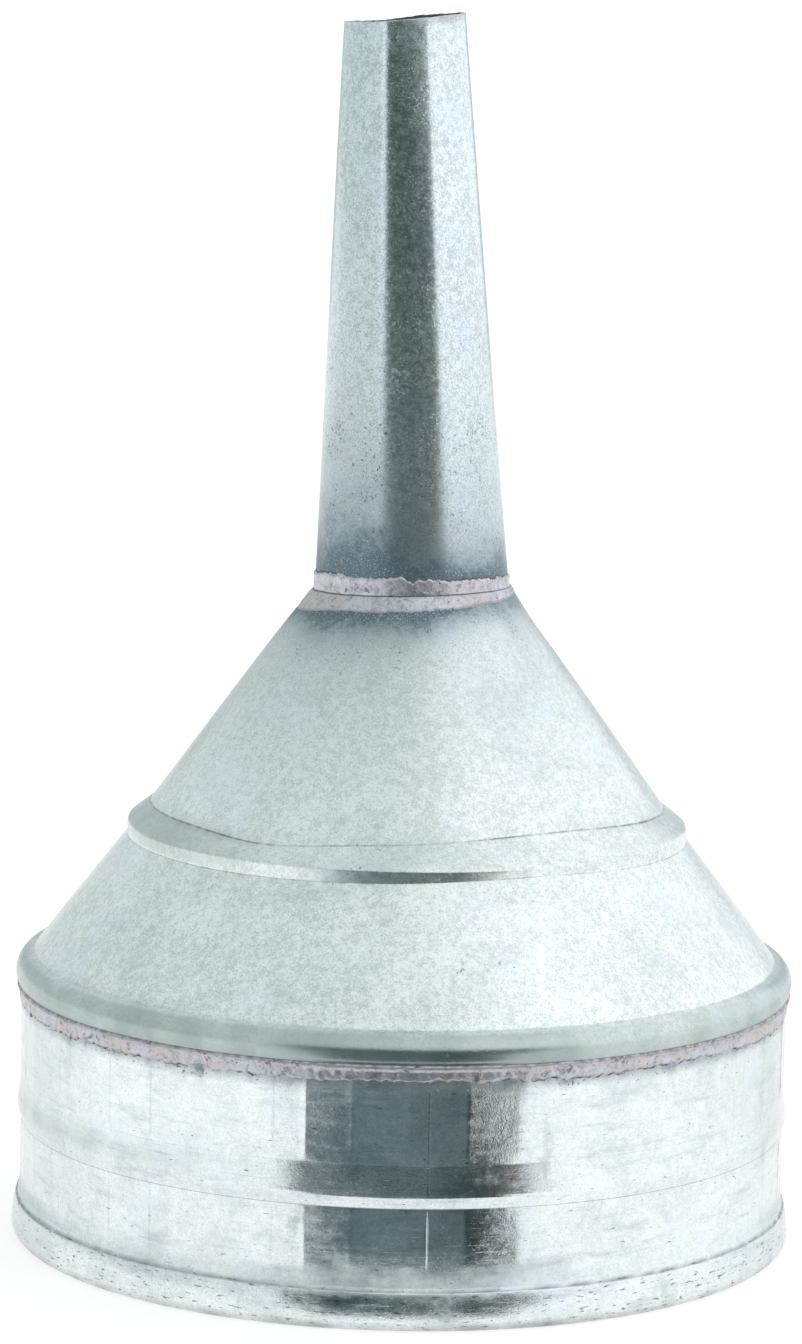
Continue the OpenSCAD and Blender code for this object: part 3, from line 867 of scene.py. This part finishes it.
    def seam(self, name, s, angle, outline, inside, seed, moved=None):
        """A run along a lap's cut edge: across it the height is top * sqrt(1 - 0.96 x^2), x from -1
        at one side to 1 at the other, and along it the width and the height waver."""
        path = fine(np.array(outline), 0.8 * MM)
        way = np.linspace(0, 1, len(path))
        rng = np.random.default_rng(seed)
        waves = np.convolve(rng.uniform(-1, 1, len(path) + 6), np.ones(7) / 7, "valid")[:, None]
        side = np.array([-1.0, -0.9, -0.6, -0.2, 0.2, 0.6, 0.9, 1.0])
        taper = np.minimum(1, 12 * np.minimum(way, 1 - way) + 0.2)[:, None]
        half = 1.5 * MM * (1 + 0.5 * waves) * taper
        top = (0.62 + 0.3 * waves) * MM * np.sqrt(1 - 0.96 * side ** 2)
        sign, edge = (-1, s.sheet) if inside else (1, 0.0)
        outer = path[:, :1] + sign * (edge + top)
        under = path[:, :1] + sign * (edge - 0.05 * MM) + 0 * side
        r = np.concatenate([outer, under[:, ::-1]], axis=1)
        across = np.concatenate([side, side[::-1]]) * half
        a = angle + across / path[:, :1]
        z = np.broadcast_to(path[:, 1:2], r.shape)
        points = np.stack([r * np.cos(a), r * np.sin(a), z], axis=-1)
        if moved:
            points = moved(points, s)
        return put_grid(name, capped(points), close_u=False, masks={"grime_and_shade": 0.0})

    def execute(self, context):
        s = context.scene.funnel_shape
        half = s.lap / 2
        line = [(spout_r(s, z), z) for z in (6 * MM, s.spout_len - 1.5 * MM)]
        pieces = [
            (self.neck(s), "neck_solder"),
            (self.shoulder(s), "shoulder_solder"),
            (self.seam("spout_seam_run", s, BACK + half / SPOUT_MID + 0.05, line, False, 71, leaning),
             "spout_seam_solder"),
        ]
        outline = cone_outline(s)
        foot = outline[np.flatnonzero(outline[:, 0] == s.seat_r)[0] - 1]
        lines = {
            "cone_seam_run_low": (foot, (s.seat_r, s.seat_z), 66 * MM, 73),
            "cone_seam_run_high": ((s.seat_top_r, s.seat_top_z), (s.neck_r, s.neck_z), 36 * MM, 74),
        }
        for name, (start, stop, radius, seed) in lines.items():
            start, stop = np.array(start), np.array(stop)
            way = (stop - start) / np.linalg.norm(stop - start)
            line = [start + way * 2.2 * MM, stop - way * 3.8 * MM]
            pieces.append((self.seam(name, s, BACK + half / radius, line, True, seed), "cone_seam_solder"))
        wall = s.mouth - s.rim_bulge
        line = [(wall, s.rim_h + s.rim_flare_h + 1 * MM), (wall, s.bead_z - 0.5 * MM)]
        cut_edge = FRONT + math.radians(COLLAR_SEAM) + half / wall
        pieces.append((self.seam("collar_seam_run", s, cut_edge, line, True, 79), "collar_seam_solder"))
        material = soft_solder("soft_solder", context.scene.funnel_finish)
        for piece, node in pieces:
            finished(piece, material, "funnel", node)
        return {"FINISHED"}


# ---- strainer ----

def rounded_ring(name, low, high, inner, outer, radius=0.12 * MM):
    """A ring of rectangular section with rounded edges."""
    starts = (180, 270, 0, 90)
    centres = [(inner + radius, low + radius), (outer - radius, low + radius),
               (outer - radius, high - radius), (inner + radius, high - radius)]
    section = np.vstack([arc(c, radius, start, start + 90, 30) for c, start in zip(centres, starts)])
    return put_grid(name, turned(around(count=240), section[:, 0], section[:, 1]))


class FUNNEL_OT_strainer(Operator):
    """Make the push-in strainer: brass channel, woven gauze, retaining ring, boss and pull."""
    bl_idname = "funnel.strainer"
    bl_label = "Strainer"

    def weave(self, name, radius, middle, pitch, wire, turned_over):
        """Parallel wires across a disc, each going over and under: z = middle +- wire/2 cos(pi x / pitch),
        with the sign changing from one wire to the next."""
        count = int(radius * 2 / pitch) - 1
        across = (np.arange(count) - (count - 1) / 2) * pitch
        half = np.sqrt(radius ** 2 - across ** 2)
        along = np.linspace(-1, 1, 241)[None, :] * half[:, None]
        sign = (-1.0) ** (np.arange(count)[:, None] + turned_over)
        start = (count - 1) / 2 * pitch
        lift = sign * wire / 2 * np.cos(math.pi * (along + start) / pitch)
        ring = np.radians([90, 210, 330])
        y = across[:, None, None] + wire / 2 * np.cos(ring) + 0 * along[..., None]
        z = middle + lift[..., None] + wire / 2 * np.sin(ring)
        x = along[..., None] + 0 * y
        points = np.stack([y, x, z] if turned_over else [x, y, z], axis=-1)
        wires, steps, sides = points.shape[:3]
        index = np.arange(wires * steps * sides).reshape(wires, steps, sides)
        a, b = index[:, :-1], index[:, 1:]
        quads = np.stack([a, np.roll(a, -1, 2), np.roll(b, -1, 2), b], axis=-1).reshape(-1, 4)
        caps = np.concatenate([index[:, 0, ::-1], index[:, -1]])
        order = 1 if turned_over else -1
        faces = quads[:, ::order].tolist() + caps[:, ::order].tolist()
        piece = put_mesh(name, points.reshape(-1, 3).tolist(), faces)
        piece.data.shade_smooth()
        return piece

    def execute(self, context):
        colours = context.scene.funnel_finish
        brass = dull_metal("brass_strip", colours.brass, 0.36)
        cloth = dull_metal("brass_gauze", shade(colours.brass, 0.9), 0.42, 1400.0)
        low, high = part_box("strainer_rim")
        strip, lip = 0.5 * MM, 4.0 * MM
        inner, outer = high.x - lip, high.x
        channel = [(outer, low.z), (outer, high.z), (inner, high.z), (inner, high.z - strip),
                   (outer - strip, high.z - strip), (outer - strip, low.z + strip),
                   (outer - 2 * strip, low.z + strip), (outer - 2 * strip, low.z), (outer, low.z)]
        section = fine(np.array(channel), 2 * MM, 0.06 * MM)[:-1]
        rim = put_grid("strainer_channel", turned(around(count=360), section[:, 0], section[:, 1]))
        low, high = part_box("strainer_retainer")
        ring = rounded_ring("strainer_ring", low.z, high.z, inner, high.x)
        low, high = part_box("strainer_gauze")
        middle, pitch, wire = (low.z + high.z) / 2, 1.1 * MM, 0.36 * MM
        radius = high.x - 0.05 * MM
        warp = self.weave("gauze_warp", radius, middle, pitch, wire, False)
        weft = self.weave("gauze_weft", radius, middle, pitch, wire, True)
        low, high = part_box("strainer_boss")
        crown = arc((high.x - 0.3 * MM, low.z + 0.3 * MM), 0.3 * MM, -90, 0, 15)
        section = np.vstack([[(0.01 * MM, low.z - 0.25 * MM), (6 * MM, low.z - 0.2 * MM),
                              (11 * MM, low.z)], crown, [(high.x, high.z), (0.01 * MM, high.z)]])
        boss = put_grid("strainer_boss_disc", turned(around(count=120), section[:, 0], section[:, 1]))
        low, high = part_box("strainer_pull")
        wire_r = (high.y - low.y) / 2
        loop_r = high.x - wire_r
        t = np.linspace(0, math.pi, 61)
        turn = np.linspace(0, TURN, 20, endpoint=False)
        reach = loop_r + wire_r * np.cos(turn)
        points = np.stack(np.broadcast_arrays(
            reach * np.cos(t)[:, None], wire_r * np.sin(turn), high.z - reach * np.sin(t)[:, None]), axis=-1)
        pull = put_grid("strainer_pull_wire", capped(points), close_u=False)
        for piece, node in ((rim, "strainer_rim"), (ring, "strainer_retainer"), (warp, "strainer_gauze"),
                            (weft, "strainer_gauze"), (boss, "strainer_boss"), (pull, "strainer_pull")):
            material, slot = (cloth, "brass_gauze") if node == "strainer_gauze" else (brass, "brass_strip")
            finished(piece, material, "strainer", node)
        return {"FINISHED"}


# ---- stage ----

def put_card(name, outline, material):
    """A flat card of the stage."""
    card = put_mesh(name, outline, [tuple(range(len(outline)))])
    card.data.materials.append(material)
    return card


def reflected_only(card):
    """Hides a card from everything but reflections."""
    card.visible_camera = card.visible_diffuse = card.visible_shadow = False
    card.visible_transmission = card.visible_volume_scatter = False


def glow(f, tone):
    """A finish that only shines, in one tone."""
    return f.shaded(f.node("Emission", {}, {"Color": tone, "Strength": 1.0}))


class FUNNEL_OT_stage(Operator):
    """Set the floor, the light tent, the cards that the metal reflects, and the camera."""
    bl_idname = "funnel.stage"
    bl_label = "Stage"

    def floor(self):
        """A pale floor that is clear from below, so that the strainer can be seen."""
        f = Finish("floor_white")
        pale = f.principled(Base_Color=(0.40, 0.395, 0.39, 1.0), Roughness=0.9,
                            Emission_Color=(1.0, 0.995, 0.99, 1.0), Emission_Strength=0.70)
        below = f.node("NewGeometry", output="Backfacing")
        clear = f.node("BsdfTransparent")
        size = 7.0
        put_card("floor", [(-size, -size, 0), (size, -size, 0), (size, size, 0), (-size, size, 0)],
                 f.shaded(f.node("MixShader", {}, {0: below, 1: pale, 2: clear})))

    def striped(self):
        """The flat card's tone: stripes that fan out from the axis, browner on the +X side."""
        f = Finish("card_flat")
        ratio = f.along("X", f.place) / (f.along("Y", f.place) * -1.0)
        blur = f.noise(14.0, 4.0, 0.65) * 0.20 - 0.10
        tone = f.node("ValToRGB", {"stops": [
            (0.0, (0.36, 0.40, 0.41)), (1.0, (0.32, 0.29, 0.27)), (0.15, (0.26, 0.30, 0.31)),
            (0.23, (0.10, 0.15, 0.165)), (0.36, (0.14, 0.19, 0.205)), (0.50, (0.12, 0.16, 0.17)),
            (0.58, (0.035, 0.05, 0.055)), (0.68, (0.05, 0.06, 0.06)), (0.74, (0.19, 0.155, 0.135)),
            (0.86, (0.20, 0.17, 0.15)),
        ]}, {0: (ratio + blur) * 0.6 + 0.4})
        return glow(f, tone)

    def upright(self, start, stop, depth, height):
        """An upright card's outline, from start to stop across and from the floor up to height."""
        return [(start, depth, 0), (stop, depth, 0), (stop, depth, height), (start, depth, height)]

    def cards(self, s):
        """A dark card and a light one upright in front, a striped one on the floor before the
        funnel, and a grey one behind. Only reflections show them."""
        far, middle, near, lift = 3.0, s.mouth * 3.1, s.mouth * 1.36, 0.5 * MM
        edge, left, right = (far * math.tan(math.radians(a)) for a in (-42, -33, 41))
        cards = {
            "upright": (self.upright(left, right, -far, 0.80), (0.045, 0.073, 0.068)),
            "light": (self.upright(edge, left, -far, 1.1), (0.98, 1.04, 1.10)),
            "flat": ([(-0.28 * near, -near, lift), (0.40 * near, -near, lift),
                      (0.48 * middle, -middle, lift), (right, -far, lift), (left, -far, lift),
                      (-0.45 * middle, -middle, lift)], None),
            "back": (self.upright(1.6, -1.6, far, 1.6), (0.62, 0.68, 0.70)),
        }
        for name, (outline, rgb) in cards.items():
            material = glow(Finish("card_" + name), (*rgb, 1.0)) if rgb else self.striped()
            reflected_only(put_card("card_" + name, outline, material))

    def tent(self, look):
        """An even white tent, cooler and darker on the -X side."""
        world = bpy.data.worlds.new("light_tent")
        bpy.context.scene.world = world
        w = Nodes(world)
        across = w.along("X", w.node("TexCoord", output="Generated"))
        shades = w.node("ValToRGB", {"stops": [
            (0.0, (0.60, 0.66, 0.67)), (1.0, (1.00, 1.03, 1.06)), (0.46, (0.68, 0.74, 0.73)),
            (0.53, (0.73, 0.78, 0.74)), (0.64, (0.90, 0.94, 0.96)), (0.76, (1.04, 1.07, 1.10)),
        ]}, {0: across * 0.5 + 0.5})
        tent = w.node("Background", {}, {"Color": shades, "Strength": look.glow})
        plain = w.node("Background", {}, {"Color": (1, 1, 1, 1), "Strength": 1.2})
        seen = w.node("LightPath", output="Is Camera Ray")
        w.node("OutputWorld", {}, {"Surface": w.node(
            "MixShader", {}, {0: seen, 1: tent, 2: plain})})

    def camera(self, look):
        """A camera that looks along +Y and down, turned a little about its own axes."""
        scene = bpy.context.scene
        scene.view_settings.view_transform = "Standard"
        data = bpy.data.cameras.new("camera")
        data.lens, data.sensor_width = look.lens, 36.0
        data.clip_start, data.clip_end = 0.05, 30.0
        camera = bpy.data.objects.new("camera", data)
        scene.collection.objects.link(camera)
        camera.location = (0, -look.distance, look.height)
        turn = Euler((math.pi / 2 - look.pitch, 0, look.pan)).to_matrix()
        roll = Euler((0, 0, look.roll)).to_matrix()
        camera.rotation_euler = (turn @ roll).to_euler()
        scene.camera = camera

    def execute(self, context):
        self.floor()
        self.cards(context.scene.funnel_shape)
        self.tent(context.scene.funnel_stage)
        self.camera(context.scene.funnel_stage)
        return {"FINISHED"}


STEPS = (FUNNEL_OT_spout, FUNNEL_OT_cone, FUNNEL_OT_collar, FUNNEL_OT_solder, FUNNEL_OT_strainer,
         FUNNEL_OT_stage)


class FUNNEL_PT_panel(Panel):
    """Lists the funnel's pieces and their settings."""
    bl_idname = "FUNNEL_PT_panel"
    bl_label = "Funnel"
    bl_space_type = "VIEW_3D"
    bl_region_type = "UI"
    bl_category = "Funnel"

    def draw(self, context):
        for step in STEPS:
            self.layout.operator(step.bl_idname)
        for group in (context.scene.funnel_shape, context.scene.funnel_finish,
                      context.scene.funnel_stage):
            box = self.layout.box()
            for name in group.__annotations__:
                box.prop(group, name)


GROUPS = {"funnel_shape": FunnelShape, "funnel_finish": FunnelFinish, "funnel_stage": FunnelStage}
CLASSES = (*GROUPS.values(), *STEPS, FUNNEL_PT_panel)


def register():
    for cls in CLASSES:
        bpy.utils.register_class(cls)
    for name, group in GROUPS.items():
        setattr(bpy.types.Scene, name, PointerProperty(type=group))


def unregister():
    for name in GROUPS:
        delattr(bpy.types.Scene, name)
    for cls in reversed(CLASSES):
        bpy.utils.unregister_class(cls)


def main():
    register()
    for step in STEPS:
        group, name = step.bl_idname.split(".")
        getattr(getattr(bpy.ops, group), name)()


if __name__ == "__main__":
    main()
